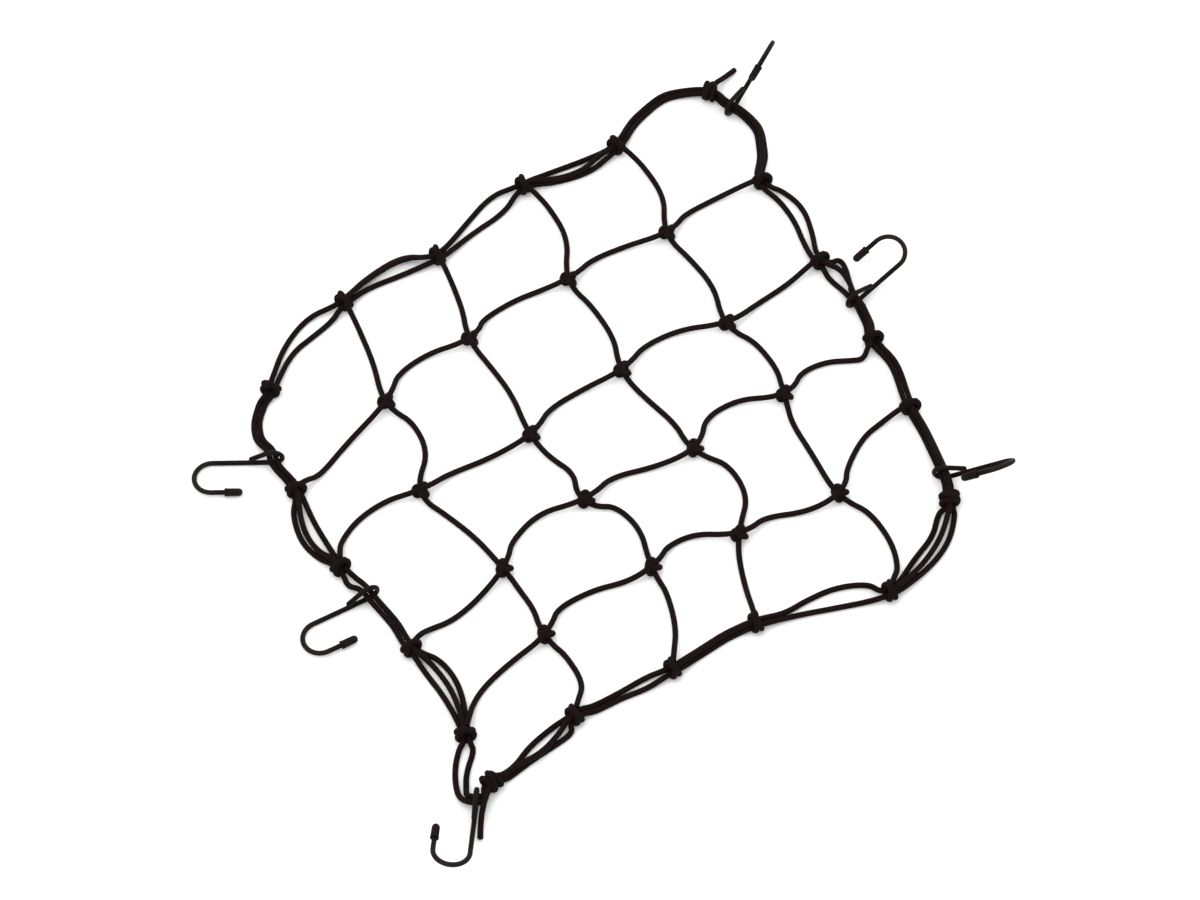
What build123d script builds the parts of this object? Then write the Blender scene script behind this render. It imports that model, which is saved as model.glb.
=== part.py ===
from build123d import *
import math
import os

# Elastic luggage net: a square mesh knotted from one elastic cord, tied all round to a
# border cord of two turns, with six bent-wire hooks that hang on the border by closed eyes.
# The net lies loose on a flat surface at z = 0, with the origin under the middle of the
# whole part. +X is to the right and +Y away from the reader. Millimetres.

# ---- driving dimensions ------------------------------------------------------------------

CORD_RADIUS = 2.0            # elastic cord, over its woven sheath
SHEATH_WALL = 0.65           # the sheath round the rubber core
CORE_RADIUS = CORD_RADIUS - SHEATH_WALL - 0.05
LYING = 2.0                  # height of a cord's middle where it lies on the surface

CROSSING_RADIUS = 6.3        # the knot where two mesh lines cross
LOWER_LINE = 4.2             # height of the line that passes below, in a crossing knot
UPPER_LINE = 8.5             # height of the line that passes above
CROSSING_REACH = 8.0         # a mesh line is straight this far each side of a crossing

STATION_RADIUS = 7.5         # the knot that ties the mesh to the border
BUNDLE_HEIGHT = 5.0          # height of the two border cords side by side through it
LANDING_HEIGHT = 9.2         # height at which a mesh line comes in over them
LANDING_REACH = 9.0          # how far from the knot's middle that line levels out
LANDING_END = 4.5            # how far from the knot's middle it ends
SIDE_STEP = 4.2              # distance between cords that lie side by side
GROOVE_RISE = 3.65           # height of a third cord in the groove between two such cords
STATION_REACH = 6.0          # border cords are straight this far each side of a station

WIRE_RADIUS = 1.75           # coated hook wire
EYE_INNER_RADIUS = 5.0
EYE_HEIGHT = 8.6             # height of the middle of a hook's eye
HOOK_LENGTH = 65.0           # outside of the eye to outside of the bend
THROAT_PITCH = 24.5          # shank to tip leg, middle to middle
TIP_SETBACK = 36.0           # outside of the bend back to the end of the tip cap
STUB_SETBACK = 25.0          # outside of the eye back to the cut end of the wire
CAP_RADIUS = 2.8
CAP_LENGTH = 12.5
CAP_END_THICKNESS = 1.5

EYE_RADIUS = EYE_INNER_RADIUS + WIRE_RADIUS
BEND_RADIUS = THROAT_PITCH / 2
EYE_BACK = EYE_RADIUS + WIRE_RADIUS

# ---- where things lie --------------------------------------------------------------------

# Mesh crossings: x, y and the two directions, in degrees, in which lines a and b run.
MESH_CROSSINGS = {
    "k11": (-154, 34, -56, 62),
    "k12": (-128, -38, -71, 26),
    "k13": (-70, -99, -53, 65),
    "k14": (-41, -150, -57, 56),
    "k21": (-96, 86, -66, 41),
    "k22": (-52, 7, -59, 47),
    "k23": (-14, -45, -39, 32),
    "k24": (32, -98, -69, 44),
    "k31": (-26, 136, -70, 34),
    "k32": (12, 60, -66, 41),
    "k33": (62, -4, -42, 49),
    "k34": (92, -72, -96, 17),
    "k41": (45, 176, -69, 36),
    "k42": (87, 99, -55, 23),
    "k43": (126, 40, -78, 31),
    "k44": (162, -40, -47, 52),
}

# Stations along the border, clockwise: x, y and the direction of the border there. An
# "eye" is a hook's eye, and the others are knots.
BORDER_STATIONS = {
    "left": (-236, 44, 73),
    "e1": (-187, 117, 45),
    "e2": (-121, 156, 31),
    "e3": (-60, 217, 30),
    "e4": (8, 252, 48),
    "top": (77, 300, -20),
    "eye5": (93, 286, -32),
    "e5": (114, 221, -64),
    "e6": (154, 152, -48),
    "eye4": (178, 118, -55),
    "e7": (190, 86, -66),
    "e8": (214, 30, -69),
    "eye6": (235, -25, -71),
    "right": (238, -45, -90),
    "e9": (194, -117, -159),
    "e10": (102, -141, -159),
    "e11": (45, -176, -149),
    "e12": (-21, -211, -140),
    "bottom": (-76, -260, -136),
    "eye3": (-86, -274, 178),
    "e13": (-94, -225, 99),
    "e14": (-132, -160, 131),
    "eye2": (-162, -120, 126),
    "e15": (-182, -98, 132),
    "e16": (-215, -37, 114),
    "eye1": (-232, -13, 102),
    "bundle_1": (23, 278, 51),
    "bundle_2": (46, 299, 22),
    "bundle_3": (110, 273, -57),
    "bundle_4": (115, 249, -86),
    "bundle_5": (186, 105, -69),
    "bundle_6": (204, 67, -64),
    "bundle_7": (224, 10, -68),
    "bundle_8": (86, -147, -152),
    "bundle_9": (65, -161, -145),
    "bundle_10": (-4, -202, -152),
    "bundle_11": (-63, -251, -140),
    "bundle_12": (-146, -137, 128),
    "bundle_13": (-244, 10, 102),
    "bundle_14": (-243, 30, 76),
}

# The eyes that the mesh cord goes through too.
THREE_CORD_EYES = ("eye4", "eye5", "eye6")

# Routes. A name is a crossing or a station, and a triple is a point (x, y, z).
MESH_LINES = {
    "a1": ["e1", (-174, 92, 2), (-164, 66, 2), "k11", (-135, 19, 2), (-124, -5, 2), "k12",
        (-112, -54, 2), (-90, -73, 2), "k13", (-59, -114, 2), (-49, -129, 2), "k14", (-27, -164, 2),
        (-15, -185, 2), "e12"],
    "a2": ["e2", (-109, 132, 2), (-102, 111, 2), "k21", (-83, 67, 2), (-66, 42, 2), "k22", (-38, -10, 2),
        (-22, -22, 2), "k23", (7, -48, 2), (24, -66, 2), "k24", (42, -116, 2), (48, -143, 2), "e11"],
    "a3": ["e3", (-40, 199, 2), (-27, 173, 2), "k31", (-10, 116, 2), (6, 89, 2), "k32", (28, 39, 2),
        (49, 18, 2), "k33", (86, -15, 2), (99, -40, 2), "k34", (92, -93, 2), (96, -114, 2), "e10"],
    "a4": ["e4", (29, 235, 2), (43, 209, 2), "k41", (60, 157, 2), (78, 132, 2), "k42", (106, 86, 2),
        (121, 64, 2), "k43", (131, 18, 2), (144, -6, 2), "k44", (183, -53, 2), (197, -76, 2),
        (201, -96, 2), "e9"],
    "b1": ["e16", (-199, -24, 2), (-182, 1, 2), "k11", (-147, 59, 2), (-126, 76, 2), "k21",
        (-88, 104, 2), (-66, 120, 2), (-46, 129, 2), "k31", (-10, 155, 2), (15, 167, 2), "k41",
        (57, 194, 2), (82, 209, 2), "e5"],
    "b2": ["e15", (-183, -77, 2), (-172, -59, 2), (-153, -44, 2), "k12", (-110, -23, 2), (-81, -10, 2),
        "k22", (-40, 30, 2), (-15, 47, 2), "k32", (27, 82, 2), (53, 96, 2), "k42", (108, 117, 2),
        (131, 134, 2), "e6"],
    "b3": ["e14", (-122, -145, 2), (-105, -138, 2), (-89, -123, 2), "k13", (-65, -76, 2), (-47, -54, 2),
        "k23", (4, -25, 2), (34, -17, 2), "k33", (70, 23, 2), (93, 38, 2), "k43", (138, 60, 2),
        (156, 69, 2), (174, 70, 2), (183, 71, 2), "e7"],
    "b4": ["e13", (-89, -199, 2), (-80, -185, 2), (-62, -167, 2), "k14", (-33, -128, 2), (-9, -114, 2),
        (13, -108, 2), "k24", (42, -80, 2), (61, -70, 2), "k34", (110, -57, 2), (138, -53, 2), "k44",
        (168, -18, 2), (180, 7, 2), (195, 20, 2), "e8"],
}

BORDER_TURNS = {
    "outer": ["left", (-229, 81, 2), (-213, 106, 2), "e1", (-171, 140, 2), (-147, 158, 2), "e2",
        (-103, 183, 2), (-84, 210, 2), "e3", (-42, 230, 2), (-17, 241, 2), "e4", "bundle_1", "bundle_2",
        "top", "eye5", "bundle_3", "bundle_4", "e5", (129, 215, 2), (144, 200, 2), (150, 177, 2), "e6",
        (171, 157, 2), "eye4", "bundle_5", "e7", "bundle_6", "e8", "bundle_7", "eye6", "right",
        (242, -55, 2), (237, -76, 2), (224, -95, 2), "e9", (179, -123, 2), (156, -128, 2),
        (132, -133, 2), "e10", "bundle_8", "bundle_9", "e11", (28, -189, 2), (11, -196, 2), "bundle_10",
        "e12", (-22, -222, 2), (-35, -232, 2), (-49, -242, 2), "bundle_11", "bottom", "eye3",
        (-99, -268, 2), (-101, -249, 2), (-98, -233, 2), "e13", (-109, -195, 2), (-123, -176, 2), "e14",
        "bundle_12", "eye2", (-177, -111, 2), "e15", (-197, -90, 2), (-210, -77, 2), (-217, -55, 2),
        "e16", "eye1", "bundle_13", "bundle_14", "left"],
    "inner": ["left", (-223, 76, 2), (-207, 91, 2), (-195, 103, 2), "e1", (-170, 131, 2), (-146, 142, 2),
        "e2", (-97, 177, 2), (-73, 196, 2), "e3", (-36, 222, 2), (-11, 231, 2), "e4", "bundle_1",
        "bundle_2", "top", "eye5", "bundle_3", "bundle_4", "e5", (126, 207, 2), (137, 189, 2),
        (143, 170, 2), "e6", (160, 139, 2), (170, 129, 2), "eye4", "bundle_5", "e7", "bundle_6", "e8",
        "bundle_7", "eye6", "right", (230, -54, 2), (226, -72, 2), (212, -90, 2), "e9", (180, -109, 2),
        (157, -112, 2), (137, -122, 2), (122, -132, 2), "e10", "bundle_8", "bundle_9", "e11",
        (28, -180, 2), (11, -191, 2), "bundle_10", "e12", (-36, -218, 2), (-52, -233, 2), "bundle_11",
        "bottom", "eye3", (-93, -265, 2), (-93, -251, 2), (-88, -235, 2), "e13", (-98, -187, 2),
        (-112, -167, 2), "e14", "bundle_12", "eye2", (-171, -105, 2), "e15", (-191, -80, 2),
        (-202, -61, 2), "e16", "eye1", "bundle_13", "bundle_14", "left"],
}

# The mesh cord also runs along the border from one line to the next.
EDGE_RUNS = {
    "e1_e2": ["e1", (-171, 136, 6.2), (-146, 154, 6.2), "e2"],
    "e3_e4": ["e3", (-36, 222, 6.2), (-16, 230, 6.4), (-5, 243, 6.2), "e4"],
    "top_e5": ["top", "eye5", "bundle_3", "bundle_4", "e5"],
    "e6_e7": ["e6", (169, 144, 7), (176, 127, 10.5), "eye4", "bundle_5", "e7"],
    "e8_e9": ["e8", "bundle_7", "eye6", "right", (236, -59, 6.2), (230, -77, 6.2), (217, -97, 6.2), "e9"],
    "e10_e11": ["e10", "bundle_8", "bundle_9", "e11"],
    "e12_bottom": ["e12", (-30, -223, 6.2), (-43, -239, 6.2), "bundle_11", "bottom"],
    "e13_e14": ["e13", (-103, -192, 4), (-117, -172, 4), "e14"],
    "e15_e16": ["e15", (-198, -85, 4), (-207, -72, 4), (-212, -55, 4), "e16"],
}

# The two cut ends of the mesh cord.
TAILS = {
    "tail_top": ["top", (86, 312, 5), (96, 323, 2)],
    "tail_bottom": ["bottom", (-80, -275, 12), (-83, -287, 5), (-83, -299, 2)],
}

# Hooks: the eye's station, the direction of the shank, how far the twist of the border cords
# holds the shank up from the surface, the side of the shank that the tip leg is on (1 left,
# -1 right) and how far that leg is turned up, all angles in degrees.
HOOKS = {
    "left_upper": ("eye1", 181, 0, 1, 4),
    "left_lower": ("eye2", 208, 0, 1, 4),
    "bottom": ("eye3", 266, 20, -1, 5),
    "right_upper": ("eye4", 40, 12, 1, 6),
    "top": ("eye5", 56, 24, -1, 72),
    "right_lower": ("eye6", -3, 34, -1, 49),
}


# ---- cords -------------------------------------------------------------------------------

def direction(degrees):
    return Vector(math.cos(math.radians(degrees)), math.sin(math.radians(degrees)), 0)


def flat(point):
    return Vector(point[0], point[1], 0)


def crossing(name, line):
    """Two points each side of a mesh crossing, with line a below line b."""
    x, y, heading_a, heading_b = MESH_CROSSINGS[name]
    heading, height = (heading_a, LOWER_LINE) if line == "a" else (heading_b, UPPER_LINE)
    middle = Vector(x, y, height)
    step = direction(heading) * CROSSING_REACH
    return [middle - step, middle + step]


def landing(name, towards, end=LANDING_END):
    """Two points where a mesh line comes in level over the border cords and ends."""
    middle = flat(BORDER_STATIONS[name])
    inward = (flat(towards) - middle).normalized()
    middle += Vector(0, 0, LANDING_HEIGHT)
    return [middle + inward * LANDING_REACH, middle + inward * end]


def place_in_bundle(name, strand):
    """How far left of the middle, and how high, a strand passes through a station.

    The two turns of the border lie side by side, and where the mesh cord runs with them it
    rides in the groove on top. An eye with three cords in it holds them a little lower, so
    that their bundle is in its middle.
    """
    low = LYING if name.startswith("bundle") else BUNDLE_HEIGHT
    if name.startswith("eye"):
        low = EYE_HEIGHT - (GROOVE_RISE / 3 if name in THREE_CORD_EYES else 0)
    if strand == "mesh":
        return 0, low + GROOVE_RISE
    return (SIDE_STEP / 2 if strand == "outer" else -SIDE_STEP / 2), low


def through(name, strand, start=-STATION_REACH, end=STATION_REACH):
    """Two points on a strand's straight way through a border station."""
    x, y, heading = BORDER_STATIONS[name]
    left, height = place_in_bundle(name, strand)
    middle = Vector(x, y, height) + direction(heading + 90) * left
    return [middle + direction(heading) * start, middle + direction(heading) * end]


def mesh_line_points(name):
    """The whole route of one mesh line, from border knot to border knot."""
    route = MESH_LINES[name]
    points = landing(route[0], route[1])[::-1]
    for stop in route[1:-1]:
        points += crossing(stop, name[0]) if isinstance(stop, str) else [Vector(*stop)]
    return points + landing(route[-1], route[-2])


def strand_points(route, strand):
    """The route of a cord that runs along the border, ending inside its end knots."""
    points = through(route[0], strand, start=1)
    for stop in route[1:-1]:
        points += through(stop, strand) if isinstance(stop, str) else [Vector(*stop)]
    return points + through(route[-1], strand, end=-1)


def tail_points(name):
    """The route of a cut end, from on top of its knot down to the surface."""
    route = TAILS[name]
    return landing(route[0], route[1], end=0.5)[::-1] + [Vector(*stop) for stop in route[1:]]


def corner_radii(points):
    """The largest arc that each corner's two runs allow: 0.45 of the shorter run over the
    tangent of half the turn."""
    radii = []
    for before, here, after in zip(points, points[1:], points[2:]):
        turn = math.radians((here - before).get_angle(after - here))
        shorter = min((here - before).length, (after - here).length)
        radii.append(0.45 * shorter / math.tan(turn / 2))
    return radii


def cord_path(points):
    return FilletPolyline(*points, radius=corner_radii(points)).wire()


def round_bar(path, radius):
    start = Plane(origin=path @ 0, z_dir=path % 0)
    return Solid.sweep(Face(Wire(Edge.make_circle(radius, start))), path)


def cord(name, points):
    """A cord's whole round bar, with its length printed."""
    path = cord_path(points)
    whole = round_bar(path, CORD_RADIUS)
    expected = math.pi * CORD_RADIUS ** 2 * path.length
    print(f"{name}: {path.length:.0f} mm long, tightest bend {min(corner_radii(points)):.1f} mm,"
          f" volume {whole.volume / expected:.4f} of section times length")
    return whole


# ---- hooks -------------------------------------------------------------------------------

def hook(station, heading, tilt, side, roll):
    """Wire and tip cap of one hook.

    The wire starts at the cut end of the stub, which comes down on to the shank, goes
    round the eye in an upright plane, leaves along the shank at the bottom of the eye, and
    turns back through half a circle into the tip leg.
    """
    x, y, _ = BORDER_STATIONS[station]
    eye = Vector(x, y, EYE_HEIGHT)
    rise, run = math.sin(math.radians(tilt)), math.cos(math.radians(tilt))
    along = direction(heading) * run + Vector(0, 0, rise)
    up = direction(heading) * -rise + Vector(0, 0, run)
    across = (direction(heading + 90) * (side * math.cos(math.radians(roll)))
              + up * math.sin(math.radians(roll)))

    def in_eye(ahead, height):
        return eye + along * ahead + up * height

    stub = (STUB_SETBACK - EYE_BACK, -EYE_RADIUS + 2 * WIRE_RADIUS + 0.4)
    reach = math.hypot(*stub)
    tangent = math.atan2(stub[1], stub[0]) + math.acos(EYE_RADIUS / reach)
    half_way = (tangent + 1.5 * math.pi) / 2
    on_circle = [(EYE_RADIUS * math.cos(a), EYE_RADIUS * math.sin(a)) for a in (tangent, half_way)]
    bend_middle = HOOK_LENGTH - EYE_BACK - WIRE_RADIUS - BEND_RADIUS
    tip_end = HOOK_LENGTH - EYE_BACK - TIP_SETBACK
    shank_start = in_eye(0, -EYE_RADIUS)
    shank_end = in_eye(bend_middle, -EYE_RADIUS)
    tip_start = shank_end + across * THROAT_PITCH
    cap_end = shank_start + along * tip_end + across * THROAT_PITCH
    wire_end = cap_end + along * CAP_END_THICKNESS
    path = Wire([
        Edge.make_line(in_eye(*stub), in_eye(*on_circle[0])),
        Edge.make_three_point_arc(in_eye(*on_circle[0]), in_eye(*on_circle[1]), shank_start),
        Edge.make_line(shank_start, shank_end),
        Edge.make_three_point_arc(shank_end, shank_end + across * BEND_RADIUS + along * BEND_RADIUS,
                                  tip_start),
        Edge.make_line(tip_start, wire_end),
    ])
    wire = round_bar(path, WIRE_RADIUS)
    cap = Solid.make_cylinder(CAP_RADIUS, CAP_LENGTH, Plane(origin=cap_end, z_dir=along))
    closed_end = cap.edges().sort_by(lambda edge: (edge.center() - cap_end).length)[0]
    cap = cap.fillet(CAP_RADIUS * 0.8, [closed_end])
    bore = Solid.make_cylinder(WIRE_RADIUS, CAP_LENGTH, Plane(origin=wire_end, z_dir=along))
    return wire, cap - bore


# ---- knots -------------------------------------------------------------------------------

def knot(x, y, radius):
    """A tight round knot that rests on the surface. Its cords are pressed into it."""
    return Solid.make_sphere(radius, Plane(origin=(x, y, radius)), -90, 90, 360)


# ---- build -------------------------------------------------------------------------------

nodes = {}
for line in MESH_LINES:
    nodes[f"mesh_line_{line}"] = [cord(f"mesh_line_{line}", mesh_line_points(line))]
for run, route in EDGE_RUNS.items():
    nodes[f"mesh_run_{run}"] = [cord(f"mesh_run_{run}", strand_points(route, "mesh"))]

# The two cut ends are the only places where the rubber core shows, so only they have it as a
# solid of its own inside the woven sheath.
nodes["rubber_core_ends"] = []
for tail in TAILS:
    path = cord_path(tail_points(tail))
    nodes[f"mesh_{tail}"] = [cord(f"mesh_{tail}", tail_points(tail))
                             - round_bar(path, CORD_RADIUS - SHEATH_WALL)]
    nodes["rubber_core_ends"].append(round_bar(path, CORE_RADIUS))

for turn, route in BORDER_TURNS.items():
    nodes[f"border_{turn}_turn"] = [cord(f"border_{turn}_turn", strand_points(route, turn))]

for row in "1234":
    names = [name for name in MESH_CROSSINGS if name[1] == row]
    nodes[f"mesh_knots_row_{row}"] = [
        knot(*MESH_CROSSINGS[name][:2], CROSSING_RADIUS) for name in names]

KNOT_SIDES = {
    "back_left": ("e1", "e2", "e3", "e4"),
    "back_right": ("e5", "e6", "e7", "e8"),
    "front_right": ("e9", "e10", "e11", "e12"),
    "front_left": ("e13", "e14", "e15", "e16"),
}
for side, names in KNOT_SIDES.items():
    nodes[f"edge_knots_{side}"] = [
        knot(*BORDER_STATIONS[name][:2], STATION_RADIUS) for name in names]
for name in ("left", "top", "right", "bottom"):
    nodes[f"corner_knot_{name}"] = [
        knot(*BORDER_STATIONS[name][:2], STATION_RADIUS)]

for place, (station, heading, tilt, side, roll) in HOOKS.items():
    wire, cap = hook(station, heading, tilt, side, roll)
    nodes[f"hook_wire_{place}"] = [wire]
    nodes[f"hook_cap_{place}"] = [cap]

os.makedirs("parts", exist_ok=True)
for name, solids in nodes.items():
    pieces = []
    for solid in solids:
        pieces += solid.solids()
    shape = pieces[0] if len(pieces) == 1 else Compound(children=pieces)
    export_step(shape, f"parts/{name}.step")
print(len(nodes), "nodes")
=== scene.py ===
# %% [markdown]
# # An elastic cargo net
#
# The object is a luggage net for a rack or a pillion seat. A square mesh is knotted from one
# elastic cord, and its edge is tied to a border of two more turns of the same cord. Six hooks
# bent from coated wire hang on the border by closed eyes, each with a soft cap on its tip.
# The net lies loose on a table, so none of its lines is straight.
#
# Everything here is in metres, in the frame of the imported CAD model, which is loaded first.
# The cords, knots, hooks and caps are then made again as fine surfaces, and each one replaces
# the plain CAD solid that stands for it in the simulation.

# %% Load the frame
import math

import bpy
import numpy as np
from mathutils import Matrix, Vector


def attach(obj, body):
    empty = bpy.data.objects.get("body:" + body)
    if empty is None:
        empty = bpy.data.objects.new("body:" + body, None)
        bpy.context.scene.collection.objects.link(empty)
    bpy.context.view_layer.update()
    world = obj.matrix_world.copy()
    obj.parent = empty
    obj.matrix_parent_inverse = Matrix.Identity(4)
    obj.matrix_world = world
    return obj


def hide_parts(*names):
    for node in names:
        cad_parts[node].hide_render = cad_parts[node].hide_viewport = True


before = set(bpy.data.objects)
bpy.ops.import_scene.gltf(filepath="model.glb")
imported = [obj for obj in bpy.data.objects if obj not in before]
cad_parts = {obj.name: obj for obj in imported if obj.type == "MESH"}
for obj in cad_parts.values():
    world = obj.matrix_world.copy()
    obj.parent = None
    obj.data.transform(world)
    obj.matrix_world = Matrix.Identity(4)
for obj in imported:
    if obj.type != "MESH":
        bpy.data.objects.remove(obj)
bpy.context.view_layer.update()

# %% [markdown]
# ## Sizes
# The cord is 4 mm over its woven sheath. A cord in a knot can't keep its free shape: the
# heights below say at what level each cord passes through a knot, an eye or a tight bundle,
# so that the cords press on each other and no more. All lengths are in metres.

# %% Sizes that the cords' routes need
CORD_RADIUS = 0.002
LYING = CORD_RADIUS  # height of the middle of a cord that lies on the table

LOWER_LINE, UPPER_LINE = 0.0042, 0.0085  # heights of lines a and b where they cross
CROSSING_REACH = 0.008

BUNDLE_HEIGHT = 0.005
SIDE_STEP, GROOVE_RISE = 0.0042, 0.00365  # between two cords, and up to a third on top
STATION_REACH, END_GAP = 0.006, 0.001
LANDING_HEIGHT, LANDING_REACH, LANDING_END = 0.0092, 0.009, 0.0045
EYE_HEIGHT = 0.0086
print(f"cord {2000 * CORD_RADIUS:.1f} mm, eyes {1000 * EYE_HEIGHT:.1f} mm up")

# %% [markdown]
# ## Where the net lies
# A slack net has no rule for where its knots fall, so their places are a table: for each
# mesh crossing its x and y and the two headings, in degrees, of the lines that cross in it,
# and for each tie on the border its x and y and the border's heading. A route then names the
# knots that a cord passes and gives a few points between them, where the cord sags aside. A
# point of two numbers lies on the table, and a third number is its height. A simulation could
# have dropped the net, but it would have fallen another way each time.

# %% The mesh crossings
CROSSINGS = {
    "k11": (-0.154, 0.034, -56, 62),
    "k12": (-0.128, -0.038, -71, 26),
    "k13": (-0.07, -0.099, -53, 65),
    "k14": (-0.041, -0.15, -57, 56),
    "k21": (-0.096, 0.086, -66, 41),
    "k22": (-0.052, 0.007, -59, 47),
    "k23": (-0.014, -0.045, -39, 32),
    "k24": (0.032, -0.098, -69, 44),
    "k31": (-0.026, 0.136, -70, 34),
    "k32": (0.012, 0.06, -66, 41),
    "k33": (0.062, -0.004, -42, 49),
    "k34": (0.092, -0.072, -96, 17),
    "k41": (0.045, 0.176, -69, 36),
    "k42": (0.087, 0.099, -55, 23),
    "k43": (0.126, 0.04, -78, 31),
    "k44": (0.162, -0.04, -47, 52),
}
print(len(CROSSINGS), "crossings")

# %% The ties, eyes and tight places of the border
STATIONS = {
    "left": (-0.236, 0.044, 73),
    "e1": (-0.187, 0.117, 45),
    "e2": (-0.121, 0.156, 31),
    "e3": (-0.06, 0.217, 30),
    "e4": (0.008, 0.252, 48),
    "top": (0.077, 0.3, -20),
    "eye5": (0.093, 0.286, -32),
    "e5": (0.114, 0.221, -64),
    "e6": (0.154, 0.152, -48),
    "eye4": (0.178, 0.118, -55),
    "e7": (0.19, 0.086, -66),
    "e8": (0.214, 0.03, -69),
    "eye6": (0.235, -0.025, -71),
    "right": (0.238, -0.045, -90),
    "e9": (0.194, -0.117, -159),
    "e10": (0.102, -0.141, -159),
    "e11": (0.045, -0.176, -149),
    "e12": (-0.021, -0.211, -140),
    "bottom": (-0.076, -0.26, -136),
    "eye3": (-0.086, -0.274, 178),
    "e13": (-0.094, -0.225, 99),
    "e14": (-0.132, -0.16, 131),
    "eye2": (-0.162, -0.12, 126),
    "e15": (-0.182, -0.098, 132),
    "e16": (-0.215, -0.037, 114),
    "eye1": (-0.232, -0.013, 102),
    "bundle_1": (0.023, 0.278, 51),
    "bundle_2": (0.046, 0.299, 22),
    "bundle_3": (0.11, 0.273, -57),
    "bundle_4": (0.115, 0.249, -86),
    "bundle_5": (0.186, 0.105, -69),
    "bundle_6": (0.204, 0.067, -64),
    "bundle_7": (0.224, 0.01, -68),
    "bundle_8": (0.086, -0.147, -152),
    "bundle_9": (0.065, -0.161, -145),
    "bundle_10": (-0.004, -0.202, -152),
    "bundle_11": (-0.063, -0.251, -140),
    "bundle_12": (-0.146, -0.137, 128),
    "bundle_13": (-0.244, 0.01, 102),
    "bundle_14": (-0.243, 0.03, 76),
}
THREE_CORD_EYES = ("eye4", "eye5", "eye6")
print(len(STATIONS), "places on the border")

# %% The routes of the mesh lines
MESH_LINES = {
    "a1": ["e1", (-0.174, 0.092), (-0.164, 0.066), "k11", (-0.135, 0.019), (-0.124, -0.005),
        "k12", (-0.112, -0.054), (-0.09, -0.073), "k13", (-0.059, -0.114), (-0.049, -0.129),
        "k14", (-0.027, -0.164), (-0.015, -0.185), "e12"],
    "a2": ["e2", (-0.109, 0.132), (-0.102, 0.111), "k21", (-0.083, 0.067), (-0.066, 0.042),
        "k22", (-0.038, -0.01), (-0.022, -0.022), "k23", (0.007, -0.048), (0.024, -0.066),
        "k24", (0.042, -0.116), (0.048, -0.143), "e11"],
    "a3": ["e3", (-0.04, 0.199), (-0.027, 0.173), "k31", (-0.01, 0.116), (0.006, 0.089), "k32",
        (0.028, 0.039), (0.049, 0.018), "k33", (0.086, -0.015), (0.099, -0.04), "k34",
        (0.092, -0.093), (0.096, -0.114), "e10"],
    "a4": ["e4", (0.029, 0.235), (0.043, 0.209), "k41", (0.06, 0.157), (0.078, 0.132), "k42",
        (0.106, 0.086), (0.121, 0.064), "k43", (0.131, 0.018), (0.144, -0.006), "k44",
        (0.183, -0.053), (0.197, -0.076), (0.201, -0.096), "e9"],
    "b1": ["e16", (-0.199, -0.024), (-0.182, 0.001), "k11", (-0.147, 0.059), (-0.126, 0.076),
        "k21", (-0.088, 0.104), (-0.066, 0.12), (-0.046, 0.129), "k31", (-0.01, 0.155),
        (0.015, 0.167), "k41", (0.057, 0.194), (0.082, 0.209), "e5"],
    "b2": ["e15", (-0.183, -0.077), (-0.172, -0.059), (-0.153, -0.044), "k12", (-0.11, -0.023),
        (-0.081, -0.01), "k22", (-0.04, 0.03), (-0.015, 0.047), "k32", (0.027, 0.082),
        (0.053, 0.096), "k42", (0.108, 0.117), (0.131, 0.134), "e6"],
    "b3": ["e14", (-0.122, -0.145), (-0.105, -0.138), (-0.089, -0.123), "k13", (-0.065, -0.076),
        (-0.047, -0.054), "k23", (0.004, -0.025), (0.034, -0.017), "k33", (0.07, 0.023),
        (0.093, 0.038), "k43", (0.138, 0.06), (0.156, 0.069), (0.174, 0.07), (0.183, 0.071),
        "e7"],
    "b4": ["e13", (-0.089, -0.199), (-0.08, -0.185), (-0.062, -0.167), "k14", (-0.033, -0.128),
        (-0.009, -0.114), (0.013, -0.108), "k24", (0.042, -0.08), (0.061, -0.07), "k34",
        (0.11, -0.057), (0.138, -0.053), "k44", (0.168, -0.018), (0.18, 0.007), (0.195, 0.02),
        "e8"],
}
print(len(MESH_LINES), "mesh lines")

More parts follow.
